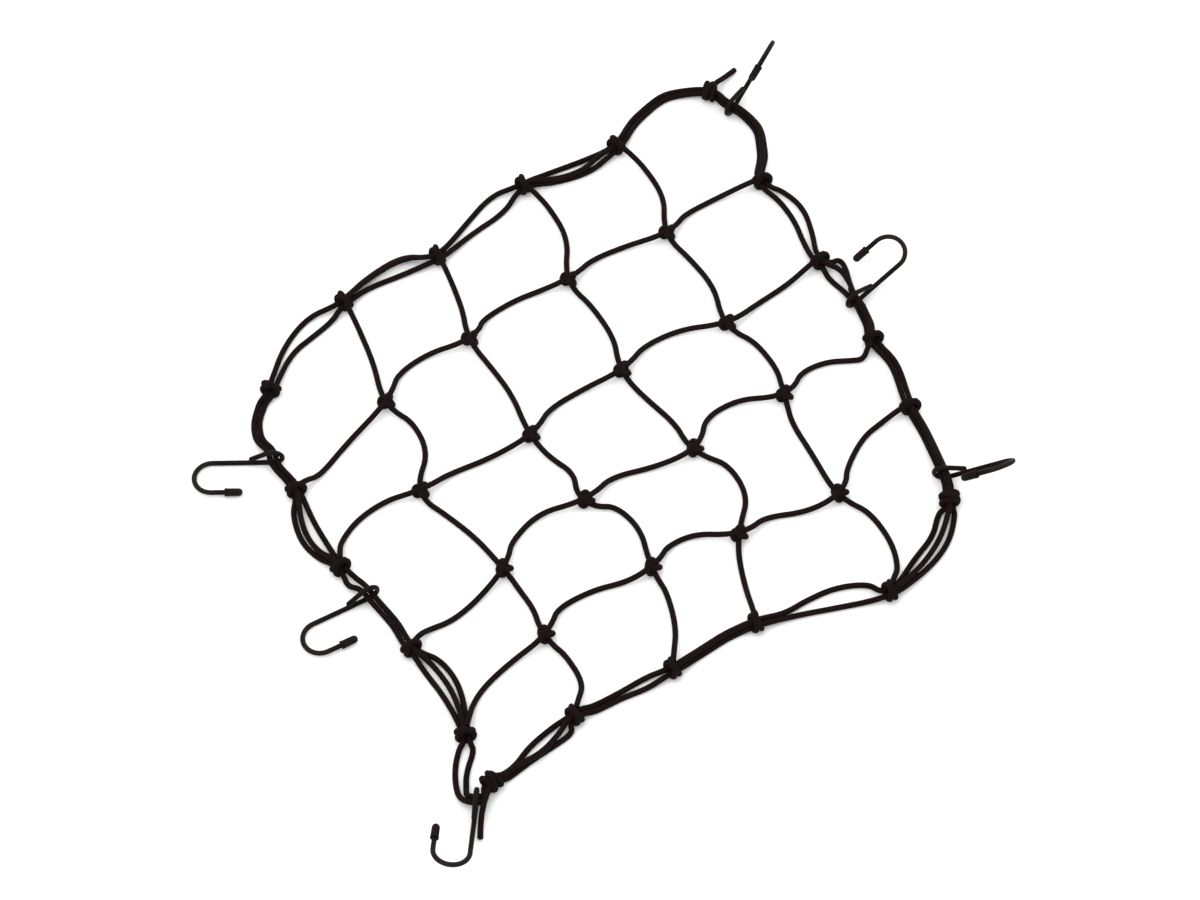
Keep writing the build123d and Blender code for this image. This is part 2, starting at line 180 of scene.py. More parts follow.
# %% The routes of the two turns of the border
BORDER_TURNS = {
    "outer": ["left", (-0.229, 0.081), (-0.213, 0.106), "e1", (-0.171, 0.14), (-0.147, 0.158),
        "e2", (-0.103, 0.183), (-0.084, 0.21), "e3", (-0.042, 0.23), (-0.017, 0.241), "e4",
        "bundle_1", "bundle_2", "top", "eye5", "bundle_3", "bundle_4", "e5", (0.129, 0.215),
        (0.144, 0.2), (0.15, 0.177), "e6", (0.171, 0.157), "eye4", "bundle_5", "e7", "bundle_6",
        "e8", "bundle_7", "eye6", "right", (0.242, -0.055), (0.237, -0.076), (0.224, -0.095),
        "e9", (0.179, -0.123), (0.156, -0.128), (0.132, -0.133), "e10", "bundle_8", "bundle_9",
        "e11", (0.028, -0.189), (0.011, -0.196), "bundle_10", "e12", (-0.022, -0.222),
        (-0.035, -0.232), (-0.049, -0.242), "bundle_11", "bottom", "eye3", (-0.099, -0.268),
        (-0.101, -0.249), (-0.098, -0.233), "e13", (-0.109, -0.195), (-0.123, -0.176), "e14",
        "bundle_12", "eye2", (-0.177, -0.111), "e15", (-0.197, -0.09), (-0.21, -0.077),
        (-0.217, -0.055), "e16", "eye1", "bundle_13", "bundle_14", "left"],
    "inner": ["left", (-0.223, 0.076), (-0.207, 0.091), (-0.195, 0.103), "e1", (-0.17, 0.131),
        (-0.146, 0.142), "e2", (-0.097, 0.177), (-0.073, 0.196), "e3", (-0.036, 0.222),
        (-0.011, 0.231), "e4", "bundle_1", "bundle_2", "top", "eye5", "bundle_3", "bundle_4",
        "e5", (0.126, 0.207), (0.137, 0.189), (0.143, 0.17), "e6", (0.16, 0.139), (0.17, 0.129),
        "eye4", "bundle_5", "e7", "bundle_6", "e8", "bundle_7", "eye6", "right", (0.23, -0.054),
        (0.226, -0.072), (0.212, -0.09), "e9", (0.18, -0.109), (0.157, -0.112), (0.137, -0.122),
        (0.122, -0.132), "e10", "bundle_8", "bundle_9", "e11", (0.028, -0.18), (0.011, -0.191),
        "bundle_10", "e12", (-0.036, -0.218), (-0.052, -0.233), "bundle_11", "bottom", "eye3",
        (-0.093, -0.265), (-0.093, -0.251), (-0.088, -0.235), "e13", (-0.098, -0.187),
        (-0.112, -0.167), "e14", "bundle_12", "eye2", (-0.171, -0.105), "e15", (-0.191, -0.08),
        (-0.202, -0.061), "e16", "eye1", "bundle_13", "bundle_14", "left"],
}
print(len(BORDER_TURNS), "border turns")

# %% The mesh cord's runs along the border, and its two cut ends
EDGE_RUNS = {
    "e1_e2": ["e1", (-0.171, 0.136, 0.0062), (-0.146, 0.154, 0.0062), "e2"],
    "e3_e4": ["e3", (-0.036, 0.222, 0.0062), (-0.016, 0.23, 0.0064), (-0.005, 0.243, 0.0062),
        "e4"],
    "top_e5": ["top", "eye5", "bundle_3", "bundle_4", "e5"],
    "e6_e7": ["e6", (0.169, 0.144, 0.007), (0.176, 0.127, 0.0105), "eye4", "bundle_5", "e7"],
    "e8_e9": ["e8", "bundle_7", "eye6", "right", (0.236, -0.059, 0.0062),
        (0.23, -0.077, 0.0062), (0.217, -0.097, 0.0062), "e9"],
    "e10_e11": ["e10", "bundle_8", "bundle_9", "e11"],
    "e12_bottom": ["e12", (-0.03, -0.223, 0.0062), (-0.043, -0.239, 0.0062), "bundle_11",
        "bottom"],
    "e13_e14": ["e13", (-0.103, -0.192, 0.004), (-0.117, -0.172, 0.004), "e14"],
    "e15_e16": ["e15", (-0.198, -0.085, 0.004), (-0.207, -0.072, 0.004),
        (-0.212, -0.055, 0.004), "e16"],
}
TAILS = {
    "tail_top": ["top", (0.086, 0.312, 0.005), (0.096, 0.323)],
    "tail_bottom": ["bottom", (-0.08, -0.275, 0.012), (-0.083, -0.287, 0.005),
        (-0.083, -0.299)],
}
print(len(EDGE_RUNS), "runs and", len(TAILS), "cut ends")

# %% The hooks
# Each hook: its eye's place, the heading of its shank, how far the twist of the cords holds
# the shank up, the side its tip is on, and how far the tip leg is turned up.
HOOKS = {
    "left_upper": ("eye1", 181, 0, 1, 4),
    "left_lower": ("eye2", 208, 0, 1, 4),
    "bottom": ("eye3", 266, 20, -1, 5),
    "right_upper": ("eye4", 40, 12, 1, 6),
    "top": ("eye5", 56, 24, -1, 72),
    "right_lower": ("eye6", -3, 34, -1, 49),
}
print(len(HOOKS), "hooks")

# %% [markdown]
# ## From routes to control points
# Cords that run together lie as cords do: two side by side and a third in the groove on top
# of them. So a named place gives each strand its own two points, one each side of the place.


# %% Points at a named place
def heading_vector(degrees):
    """The level unit vector with cosine and sine of the heading."""
    return Vector((math.cos(math.radians(degrees)), math.sin(math.radians(degrees)), 0))


def crossing_points(name, line):
    """A point a reach before and a reach after the crossing, line a below line b."""
    x, y, heading_a, heading_b = CROSSINGS[name]
    heading, height = (heading_a, LOWER_LINE) if line == "a" else (heading_b, UPPER_LINE)
    step = heading_vector(heading) * CROSSING_REACH
    return [Vector((x, y, height)) - step, Vector((x, y, height)) + step]


def landing_points(name, towards, end=LANDING_END):
    """Two points on the level line from a tie's middle towards the next point."""
    x, y = STATIONS[name][:2]
    inward = (Vector(towards[:2]) - Vector((x, y))).normalized().to_3d()
    middle = Vector((x, y, LANDING_HEIGHT))
    return [middle + inward * LANDING_REACH, middle + inward * end]


def strand_points(name, strand, start=-STATION_REACH, end=STATION_REACH):
    """A strand's two points: the place's middle, moved left by the strand's share of the
    bundle and up to its height, then back by start and on by end along the heading."""
    x, y, heading = STATIONS[name]
    low = LYING if name.startswith("bundle") else BUNDLE_HEIGHT
    if name.startswith("eye"):
        low = EYE_HEIGHT - (GROOVE_RISE / 3 if name in THREE_CORD_EYES else 0)
    left = {"outer": SIDE_STEP / 2, "inner": -SIDE_STEP / 2, "mesh": 0}[strand]
    height = low + GROOVE_RISE if strand == "mesh" else low
    middle = Vector((x, y, height)) + heading_vector(heading + 90) * left
    along = heading_vector(heading)
    return [middle + along * start, middle + along * end]


print("line a enters crossing k11 at", tuple(crossing_points("k11", "a")[0]))


# %% The route of every cord
def free_point(stop):
    """A point between two named places, on the table unless it has a height."""
    return Vector(stop if len(stop) == 3 else (*stop, LYING))


def line_route(name):
    """A mesh line, from the tie where it starts through its crossings to its last tie."""
    route = MESH_LINES[name]
    points = landing_points(route[0], route[1])[::-1]
    for stop in route[1:-1]:
        points += (crossing_points(stop, name[0]) if isinstance(stop, str)
                   else [free_point(stop)])
    return points + landing_points(route[-1], route[-2])


def border_route(route, strand):
    """A cord that runs with the border. It starts a gap past the middle of its first place
    and ends a gap short of that of its last, so that two ends in one place don't meet."""
    points = strand_points(route[0], strand, start=END_GAP)
    for stop in route[1:-1]:
        points += strand_points(stop, strand) if isinstance(stop, str) else [free_point(stop)]
    return points + strand_points(route[-1], strand, end=-END_GAP)


def tail_route(name):
    """A cut tail, from just beside the middle of its knot to its free end."""
    route = TAILS[name]
    return (landing_points(route[0], route[1], end=END_GAP / 2)[::-1]
            + [free_point(stop) for stop in route[1:]])


ROUTES = {f"mesh_line_{name}": line_route(name) for name in MESH_LINES}
ROUTES.update({f"mesh_run_{name}": border_route(route, "mesh")
               for name, route in EDGE_RUNS.items()})
ROUTES.update({f"mesh_{name}": tail_route(name) for name in TAILS})
ROUTES.update({f"border_{name}_turn": border_route(route, name)
               for name, route in BORDER_TURNS.items()})
print(len(ROUTES), "cords,", sum(len(route) for route in ROUTES.values()), "control points")

# %% [markdown]
# ## Maths for finishes
# A finish in Blender is a graph of nodes. Written out node by node it hides its own formula,
# so two small classes keep the formula in sight: Number wraps a value that differs from
# point to point and lets + - * / and ** build Math nodes, and Finish adds any other node in
# one call, with its settings first and its sockets after.


# %% A number that varies over a surface
class Number:
    """A socket with the operators of arithmetic, each of which adds one Math node."""

    def __init__(self, finish, socket):
        self.finish, self.socket = finish, socket

    def maths(self, operation, *others, first=None, clamp=False):
        values = [first if first is not None else self, *others]
        node = self.finish.node("ShaderNodeMath", {"operation": operation, "use_clamp": clamp},
                                dict(enumerate(values)))
        return Number(self.finish, node.outputs[0])

    def __add__(self, other):
        return self.maths("ADD", other)

    def __radd__(self, other):
        return self.maths("ADD", other)

    def __sub__(self, other):
        return self.maths("SUBTRACT", other)

    def __rsub__(self, other):
        return self.maths("SUBTRACT", self, first=other)

    def __mul__(self, other):
        return self.maths("MULTIPLY", other)

    def __truediv__(self, other):
        return self.maths("DIVIDE", other)

    def __pow__(self, other):
        return self.maths("POWER", other)

    def wave(self):
        return (self * (2 * math.pi)).maths("SINE")

    def size(self):
        return self.maths("ABSOLUTE")

    def above(self, limit):
        return self.maths("GREATER_THAN", limit)

    def clamped(self):
        return self.maths("ADD", 0.0, clamp=True)

    def ramp(self, low, high):
        """0 below low, 1 above high, a smooth step between."""
        node = self.finish.node("ShaderNodeMapRange", {"interpolation_type": "SMOOTHSTEP"},
                                {"Value": self, "From Min": low, "From Max": high})
        return Number(self.finish, node.outputs[0])


print("numbers over a surface: + - * / **, wave, size, above, clamped and ramp")


# %% A finish and its nodes
class Finish:
    """One material: a Principled shader and the nodes that feed it."""

    def __init__(self, name, **constants):
        self.material = bpy.data.materials.new(name)
        self.material.use_nodes = True
        self.tree = self.material.node_tree
        self.shader = self.tree.nodes["Principled BSDF"]
        for socket, value in constants.items():
            label = socket.replace("_", " ").title().replace("Ior", "IOR")
            self.shader.inputs[label].default_value = value

    def node(self, kind, settings=None, inputs=None):
        """A new node. An input is a Number, another node's socket, or a constant."""
        made = self.tree.nodes.new(kind)
        for key, value in (settings or {}).items():
            setattr(made, key, value)
        for key, value in (inputs or {}).items():
            if isinstance(value, Number):
                value = value.socket
            if isinstance(value, bpy.types.NodeSocket):
                self.tree.links.new(value, made.inputs[key])
            else:
                made.inputs[key].default_value = value
        return made

    def number(self, made, output=0):
        return Number(self, made.outputs[output])

    def place(self):
        """The point's own coordinates on its piece, in metres."""
        return self.node("ShaderNodeTexCoord").outputs["Object"]

    def round_and_along(self):
        """Round the cord, 0 to 1, and along it in metres, from the tube's own map."""
        split = self.node("ShaderNodeSeparateXYZ", {}, {0: self.node(
            "ShaderNodeUVMap", {"uv_map": "UVMap"}).outputs[0]})
        return self.number(split, 0), self.number(split, 1)

    def attribute(self, name):
        """A value that is kept on the piece's points under this name."""
        return self.number(self.node("ShaderNodeAttribute", {"attribute_name": name}), "Fac")

    def noise(self, scale, detail=3.0, roughness=0.55):
        """Soft noise about 0.5, with this many of its lumps to the metre."""
        return self.number(self.node("ShaderNodeTexNoise", {}, {
            "Vector": self.place(), "Scale": scale, "Detail": detail,
            "Roughness": roughness}), "Fac")

    def blend(self, amount, low, high):
        """The colour low where amount is 0 and high where it is 1."""
        node = self.node("ShaderNodeMix", {"data_type": "RGBA"}, {0: amount})
        for index, colour in ((6, low), (7, high)):  # the sockets A and B for colours
            if isinstance(colour, tuple):
                node.inputs[index].default_value = (*colour, 1)
            else:
                self.tree.links.new(colour, node.inputs[index])
        return node.outputs[2]  # the result as a colour

    def feed(self, socket, value):
        """Let a value that varies drive one of the shader's sockets."""
        if isinstance(value, Number):
            value = value.socket
        self.tree.links.new(value, self.shader.inputs[socket])

    def relief(self, height, distance, strength):
        """Bump: height is 0 to 1 and distance is what 1 stands for, in metres."""
        bump = self.node("ShaderNodeBump", {}, {
            "Height": height, "Distance": distance, "Strength": strength})
        self.feed("Normal", bump.outputs[0])


print("finish maker ready")

# %% [markdown]
# ## The woven sheath
# Elastic cord is covered by a braid: sixteen bundles of polyester yarn, eight wound to the
# left and eight to the right, passing over and under each other. Up close that is a pattern
# of small diamonds, each with fine lines along its yarn. Modelling the bundles as geometry
# would take millions of faces for seven metres of cord, and an image would blur, so the braid
# is a formula of the tube's own map: how far round, and how far along in metres.


# %% Braided polyester
YARNS_EACH_WAY = 8
LINES_PER_YARN = 6
BRAID_PITCH = 0.00157  # the next yarn follows after this length along the cord


def braided_cord(name, dark, light):
    """Two phases climb the cord in opposite senses. Their sines' product is the over-under
    checker. Where it is above zero the left-wound yarn lies on top and where it is below
    zero the right-wound one, and the fine lines follow the phase of whichever is on top."""
    finish = Finish(name, specular_ior_level=0.04, sheen_weight=0.008, sheen_roughness=0.35)
    finish.shader.inputs["Sheen Tint"].default_value = (0.75, 0.68, 0.62, 1)
    around, along = finish.round_and_along()
    climb = along / BRAID_PITCH
    left, right = around * YARNS_EACH_WAY + climb, around * YARNS_EACH_WAY - climb
    checker = left.wave() * right.wave()
    on_top = checker.above(0.0)
    yarn = (on_top * (left * LINES_PER_YARN).wave()
            + (1 - on_top) * (right * LINES_PER_YARN).wave())
    mound_and_groove_shade = checker.size() ** 0.6
    patches = finish.noise(22.0, detail=2.0)
    fuzz = finish.noise(2600.0, detail=4.0)
    dust = finish.noise(140.0, detail=5.0).ramp(0.55, 0.78)
    # The colour is lighter on the mounds of the yarns and on the fine lines along them, and
    # darker in the grooves between them: that is painted shade. The patches, fuzz and dust are
    # the cord's own tone.
    tone_dust_and_painted_shade = (mound_and_groove_shade * 0.45 + (yarn * 0.5 + 0.5) * 0.22 + patches * 0.25 + fuzz * 0.18
             + dust * 0.16 - 0.18).clamped()
    finish.feed("Base Color", finish.blend(tone_dust_and_painted_shade, dark, light))
    finish.feed("Roughness", (0.9 - mound_and_groove_shade * 0.16 - yarn * 0.05 + fuzz * 0.1
                              - patches * 0.12).clamped())
    finish.relief(mound_and_groove_shade * 0.7 + yarn * 0.1 + fuzz * 0.2, distance=0.00022, strength=0.9)
    return finish.material


net_braid = braided_cord("net_braid", (0.0034, 0.0016, 0.0013), (0.0190, 0.0108, 0.0092))
border_braid = braided_cord("border_braid", (0.0033, 0.0016, 0.0013), (0.0180, 0.0103, 0.0087))
print("braids:", net_braid.name, border_braid.name)

# %% [markdown]
# ## Dipped wire
# The hooks are steel wire dipped in a black coating. A dip leaves a gloss that is not even:
# a faint orange-peel texture, broad duller patches, and dull rubbed places where the hook
# bears on the rack. How much a place is rubbed is worked out with the hook's shape and
# kept on its points as an attribute, so the finish only has to read it.


# %% Coated wire
def coated_wire():
    """Roughness rises with broad patches and with rubbing. Where a rubbed place meets the
    peaks of a fine noise the coating has worn thin and a little browner."""
    finish = Finish("coated_wire", specular_ior_level=0.035, coat_roughness=0.18)
    rubbed = finish.attribute("rubbed")
    peel = finish.noise(900.0, detail=2.0)
    patches = finish.noise(60.0, detail=3.0)
    grit = finish.noise(1700.0, detail=6.0, roughness=0.7)
    scuffs = (rubbed * grit.ramp(0.42, 0.66)).clamped()
    specks = grit.ramp(0.70, 0.76) * 0.5
    black = finish.blend(patches, (0.0034, 0.0017, 0.0014), (0.0080, 0.0045, 0.0037))
    worn = finish.blend((scuffs * 0.7 + specks).clamped(), black, (0.042, 0.033, 0.028))
    finish.feed("Base Color", worn)
    finish.feed("Roughness", (0.30 + patches * 0.16 + scuffs * 0.3).clamped())
    finish.feed("Coat Weight", ((1 - scuffs) * 0.03).clamped())
    finish.relief(peel * 0.6 + grit * 0.4, distance=0.00006, strength=0.7)
    return finish.material


wire_finish = coated_wire()
print("finish:", wire_finish.name)


# %% Soft vinyl of the tip caps
def cap_vinyl():
    """A fine moulded grain, with dust held in it and a rubbed, shinier end."""
    finish = Finish("cap_vinyl", specular_ior_level=0.05)
    rubbed = finish.attribute("rubbed")
    grain = finish.noise(2300.0, detail=3.0)
    cloud = finish.noise(240.0, detail=4.0)
    colour = finish.blend((cloud * 0.6 + grain * 0.4).clamped(),
                          (0.0045, 0.0028, 0.0024), (0.0130, 0.0085, 0.0073))
    finish.feed("Base Color", finish.blend((rubbed * cloud * 0.7).clamped(), colour,
                                           (0.032, 0.025, 0.021)))
    finish.feed("Roughness", (0.62 - rubbed * 0.2 + grain * 0.12).clamped())
    finish.relief(grain, distance=0.00005, strength=0.8)
    return finish.material


vinyl_finish = cap_vinyl()
print("finish:", vinyl_finish.name)


# %% Rubber of the core
def core_rubber():
    """Bare rubber strands: dull, and lighter in patches where talc clings to them."""
    finish = Finish("core_rubber", specular_ior_level=0.3)
    talc = finish.noise(1200.0, detail=5.0)
    finish.feed("Base Color", finish.blend(talc.ramp(0.35, 0.7),
                                           (0.022, 0.017, 0.014), (0.085, 0.071, 0.058)))
    finish.feed("Roughness", (0.7 + talc * 0.25).clamped())
    finish.relief(talc, distance=0.00005, strength=0.6)
    return finish.material


rubber_finish = core_rubber()
print("finish:", rubber_finish.name)

# %% [markdown]
# ## Tubes
# Nearly everything on the net is a round section carried along a line. Blender's own bevelled
# curve would do that, but it gives no map in metres and it may twist. Here the section of a
# cord is kept upright instead: its side vector is the level one at right angles to the line,
# which a cord that lies on a table always has. A knot or a wire also runs up and down, where
# there is no such vector, so its section is carried from each point to the next.


# %% Even steps, and the vectors round a line
SLANTED = (0.3, 0.2, 0.93)  # no cord or wire runs this way, so it can start a side vector


def even_steps(points, step, closed=False):
    """The same line with its points an even step apart, how far along each of them is, and
    the whole length. A closed line is measured back to its first point."""
    points = np.asarray(points, float)
    if closed:
        points = np.vstack([points, points[:1]])
    runs = np.linalg.norm(np.diff(points, axis=0), axis=1)
    reached = np.concatenate([[0], np.cumsum(runs)])
    count = max(8, int(round(reached[-1] / step)))
    marks = np.linspace(0, reached[-1], count + 1)
    line = np.stack([np.interp(marks, reached, points[:, axis]) for axis in range(3)], axis=1)
    return (line[:-1], marks[:-1], reached[-1]) if closed else (line, marks, reached[-1])


def unit(vectors):
    """Each vector divided by its length."""
    return vectors / np.linalg.norm(vectors, axis=-1, keepdims=True)


def upright_frame(line):
    """Tangent, side and up vectors: side is z cross the tangent, up is the tangent cross
    side. For an open line that is nowhere vertical."""
    tangent = unit(np.gradient(line, axis=0))
    side = unit(np.cross([0, 0, 1], tangent))
    return tangent, side, np.cross(tangent, side)


def carried_frame(line, closed=False):
    """The first side vector carried along: at each step its part along the new tangent is
    taken away. On a closed line the twist left over at the seam is spread over the turn."""
    tangent = unit(np.roll(line, -1, axis=0) - np.roll(line, 1, axis=0) if closed
                   else np.gradient(line, axis=0))
    side = np.empty_like(line)
    side[0] = unit(np.cross(tangent[0], SLANTED))
    for index in range(1, len(line)):
        before = side[index - 1]
        side[index] = unit(before - tangent[index] * (before @ tangent[index]))
    up = np.cross(tangent, side)
    if closed:
        back = side[-1] - tangent[0] * (side[-1] @ tangent[0])
        twist = math.atan2(back @ up[0], back @ side[0])
        angles = -twist * np.arange(len(line)) / len(line)
        side = side * np.cos(angles)[:, None] + up * np.sin(angles)[:, None]
        up = np.cross(tangent, side)
    return tangent, side, up


climb = upright_frame(np.array([(0.0, 0, 0), (1, 0, 1)]))
print("a line that climbs along x has its side at", climb[1][0], "and up", climb[2][0].round(2))


# %% Rings and quads
def tube_grid(line, radius, vectors, sides):
    """Rings of points: middle + radius times (side cos angle + up sin angle). The radius is
    one number, one for each ring, or one for each point of each ring."""
    _, side, up = vectors
    angle = np.linspace(0, 2 * math.pi, sides, endpoint=False)
    radius = np.asarray(radius, float)
    if radius.ndim == 1:
        radius = radius[:, None]
    return (line[:, None, :] + radius[..., None] * (
        side[:, None, :] * np.cos(angle)[None, :, None]
        + up[:, None, :] * np.sin(angle)[None, :, None]))


def tube_faces(rings, sides, closed):
    """Quads between ring i and the next, wound so that they face outwards."""
    i, j = np.meshgrid(np.arange(rings if closed else rings - 1), np.arange(sides),
                       indexing="ij")
    after, right = (i + 1) % rings, (j + 1) % sides
    quads = np.stack([i * sides + j, i * sides + right, after * sides + right,
                      after * sides + j], axis=-1)
    return quads.reshape(-1, 4)


print(len(tube_faces(3, 16, False)), "quads join three rings of sixteen points")


# %% A whole tube
def skin(grid, marks, length, closed=False, rubbed=0.0):
    """The rings joined to a tube, as a dictionary: points, quads, the map of each quad's
    corners, the end rings to close, how rubbed each point is, and the length. The map is
    the share of the way round, and metres along; at each seam it goes on to its full value
    and doesn't fall back to 0."""
    rings, sides = grid.shape[:2]
    faces = tube_faces(rings, sides, closed)
    ring, spoke = faces // sides, faces % sides
    around = np.where((spoke == 0) & (spoke[:, [0]] == sides - 1), 1.0, spoke / sides)
    last = (ring == 0) & (ring[:, [0]] == rings - 1) & closed
    along = np.where(last, length, marks[ring])
    first_ring = np.arange(sides)
    return {"points": grid.reshape(-1, 3), "faces": faces,
            "map": np.stack([around, along], axis=-1),
            "caps": [] if closed else [first_ring[::-1], first_ring + (rings - 1) * sides],
            "rubbed": np.broadcast_to(rubbed, rings).repeat(sides), "length": length}


def tube(points, radius=CORD_RADIUS, step=0.0008, sides=16, closed=False):
    """A tube along a line: upright where the line is open, carried round where it closes."""
    line, marks, length = even_steps(points, step, closed)
    vectors = carried_frame(line, closed=True) if closed else upright_frame(line)
    return skin(tube_grid(line, radius, vectors, sides), marks, length, closed)


FLOOR_CLEARANCE = 0.00002


def pressed_flat(made):
    """The same tube with no point lower than just above the table."""
    made["points"] = np.maximum(made["points"], [-np.inf, -np.inf, FLOOR_CLEARANCE])
    return made


print("tube maker ready")


# %% Put tubes into a mesh
def piece(name, tubes, finish, body, nodes=()):
    """One object from any number of tubes, with its map, its finish and its body. Its quads
    are shaded smooth and the flat ends of its tubes aren't."""
    points, loops, counts, corners, rubbed, base = [], [], [], [], [], 0
    for part in tubes:
        points.append(part["points"])
        rubbed.append(part["rubbed"])
        loops.append((part["faces"] + base).ravel())
        counts.append(np.full(len(part["faces"]), 4))
        corners.append(part["map"].reshape(-1, 2))
        for cap in part["caps"]:
            loops.append(cap + base)
            counts.append([len(cap)])
            corners.append(np.zeros((len(cap), 2)))
        base += len(part["points"])
    points, loops = np.vstack(points), np.concatenate(loops)
    counts = np.concatenate(counts)
    mesh = bpy.data.meshes.new(name)
    mesh.vertices.add(len(points))
    mesh.vertices.foreach_set("co", points.ravel())
    mesh.loops.add(len(loops))
    mesh.loops.foreach_set("vertex_index", loops)
    mesh.polygons.add(len(counts))
    mesh.polygons.foreach_set("loop_start", np.concatenate([[0], np.cumsum(counts)[:-1]]))
    mesh.update(calc_edges=True)
    mesh.uv_layers.new(name="UVMap").data.foreach_set("uv", np.vstack(corners).ravel())
    mesh.attributes.new("rubbed", "FLOAT", "POINT").data.foreach_set(
        "value", np.concatenate(rubbed))
    mesh.polygons.foreach_set("use_smooth", counts == 4)
    mesh.validate()
    mesh.materials.append(finish)
    thing = bpy.data.objects.new(name, mesh)
    bpy.context.scene.collection.objects.link(thing)
    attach(thing, body)
    if nodes:
        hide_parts(*nodes)
    return thing


print("mesh maker ready")

# %% [markdown]
# ## The cords
# A cord takes the smooth line that its control points pull towards, a NURBS spline of order
# three. Blender works the spline out, and the tube follows the points it gives.


# %% The smooth line of a route
def smooth_line(name, route):
    """The route's NURBS spline, evaluated by Blender into closely spaced points."""
    curve = bpy.data.curves.new(name + "_route", "CURVE")
    curve.dimensions = "3D"
    curve.resolution_u = 16
    spline = curve.splines.new("NURBS")
    spline.points.add(len(route) - 1)
    spline.points.foreach_set("co", np.array([(*p, 1.0) for p in route]).ravel())
    spline.order_u = 3
    spline.use_endpoint_u = True
    holder = bpy.data.objects.new(name + "_route", curve)
    mesh = bpy.data.meshes.new_from_object(holder)
    points = np.empty(len(mesh.vertices) * 3)
    mesh.vertices.foreach_get("co", points)
    bpy.data.objects.remove(holder)
    bpy.data.curves.remove(curve)
    bpy.data.meshes.remove(mesh)
    return points.reshape(-1, 3)


PATHS = {name: smooth_line(name, route) for name, route in ROUTES.items()}
print(sum(len(path) for path in PATHS.values()), "points on the smooth lines")

# %% Lay every cord
total = 0.0
for name, path in PATHS.items():
    is_border, is_tail = name.startswith("border"), "tail" in name
    made = pressed_flat(tube(path, sides=14))
    cord = piece(f"cord_{name}", [made], border_braid if is_border else net_braid,
                 "net", [name])
    total += made["length"]
print(f"{len(PATHS)} cords, {total:.2f} m in all")

# %% [markdown]
# ## The cut ends
# Where the net's cord was cut, its sheath stops and the core shows: a bundle of round rubber
# strands that stand out a little. Seven strands, one in the middle of six, make the cut read
# as elastic cord and not as a rod.


# %% Rubber strands at the cut ends
SHEATH_WALL = 0.00065
STRAND_RADIUS = 0.00041
STRAND_PITCH = 0.00086
STANDS_OUT = (0.0007, 0.0004, 0.0009, 0.0006, 0.0010, 0.0005, 0.0008)
STEPS_SHOWN, END_STEP = 9, 0.0006  # a strand is drawn over the last nine points


def core_strands(path):
    """The line not moved aside, then moved aside by the strands' pitch at six even angles,
    each drawn as a thin tube over the last few millimetres and pushed out by its own small
    amount."""
    line = even_steps(path, END_STEP)[0][-STEPS_SHOWN:]
    tangent, side, up = upright_frame(line)
    strands = []
    for number, out in enumerate(STANDS_OUT):
        turn, away = number * math.pi / 3, (0.0 if number == 0 else STRAND_PITCH)
        moved = line + away * (side * math.cos(turn) + up * math.sin(turn))
        moved = np.vstack([moved, moved[-1] + tangent[-1] * out])
        strands.append(tube(moved, radius=STRAND_RADIUS, step=0.0003, sides=10))
    return strands


def sheath_lip(path):
    """The cut edge of the sheath: a ring as thick as the wall, laid round the end so that
    its outer half rounds the edge over."""
    line = even_steps(path, END_STEP)[0]
    _, side, up = upright_frame(line)
    turn = np.linspace(0, 2 * math.pi, 64, endpoint=False)
    middle = CORD_RADIUS - SHEATH_WALL / 2
    ring = (line[-1] + middle * (side[-1] * np.cos(turn)[:, None]
                                 + up[-1] * np.sin(turn)[:, None]))
    return tube(ring, radius=SHEATH_WALL / 2, step=0.0003, sides=8, closed=True)


ends = []
for name in TAILS:
    ends += core_strands(PATHS[f"mesh_{name}"])
piece("core_strands", ends, rubber_finish, "net", ["rubber_core_ends"])
piece("sheath_lips", [sheath_lip(PATHS[f"mesh_{name}"]) for name in TAILS], net_braid,
      "net")
print(len(ends), "rubber strands")

# %% [markdown]
# ## The crossing knots
# Where two mesh lines cross they are joined by an overhand knot. Its centre line is the
# trefoil, which has a short formula, and the knot is tight: its inner strands press on each
# other. A sphere would give the right size, but not the three turns that catch the light.


# %% Overhand knots
CROSSING_HEIGHT = 0.0063
KNOT_REACH, KNOT_RISE = 0.0051, 0.0025


def overhand(x, y, heading):
    """The trefoil: as t goes round once, the line is at sin t + 2 sin 2t across,
    cos t - 2 cos 2t ahead and -sin 3t up, scaled to the knot's reach and rise."""
    t = np.linspace(0, 2 * math.pi, 160, endpoint=False)
    across = (np.sin(t) + 2 * np.sin(2 * t)) * KNOT_REACH / 3
    ahead = (np.cos(t) - 2 * np.cos(2 * t)) * KNOT_REACH / 3
    lift = -np.sin(3 * t) * KNOT_RISE
    along, left = heading_vector(heading), heading_vector(heading + 90)
    return (np.array([x, y, CROSSING_HEIGHT]) + ahead[:, None] * np.array(along)
            + across[:, None] * np.array(left) + lift[:, None] * np.array([0, 0, 1]))


# Each knot of a row is turned a little further, so that neighbours don't look the same.
TURN_PER_COLUMN = 17
for row in "1234":
    knots = [tube(overhand(x, y, (a + b) / 2 + TURN_PER_COLUMN * int(name[2])), step=0.0006,
                  closed=True)
             for name, (x, y, a, b) in CROSSINGS.items() if name[1] == row]
    piece(f"overhand_knots_row_{row}", knots, net_braid, "net",
          [f"mesh_knots_row_{row}"])
print(len(CROSSINGS), "overhand knots")

# %% [markdown]
# ## The ties on the border
# The mesh cord holds the border cords with a hitch: it goes round them twice, or three times
# where the mesh cord passes a corner, and crosses over itself on top. One closed line round
# the bundle gives it, if its place along the border swings once to each side while it makes
# all of its turns.


# %% Hitches
HITCH_WIDTH, HITCH_LOW, HITCH_HIGH = 0.0056, 0.0021, 0.0122
HITCH_LIFT = 0.0011  # how far one strand is pushed up where it crosses the other
HITCH_SPREAD = {2: 0.0026, 3: 0.0036}  # by the number of turns
MESH_CORD_CORNERS = ("top", "right", "bottom")


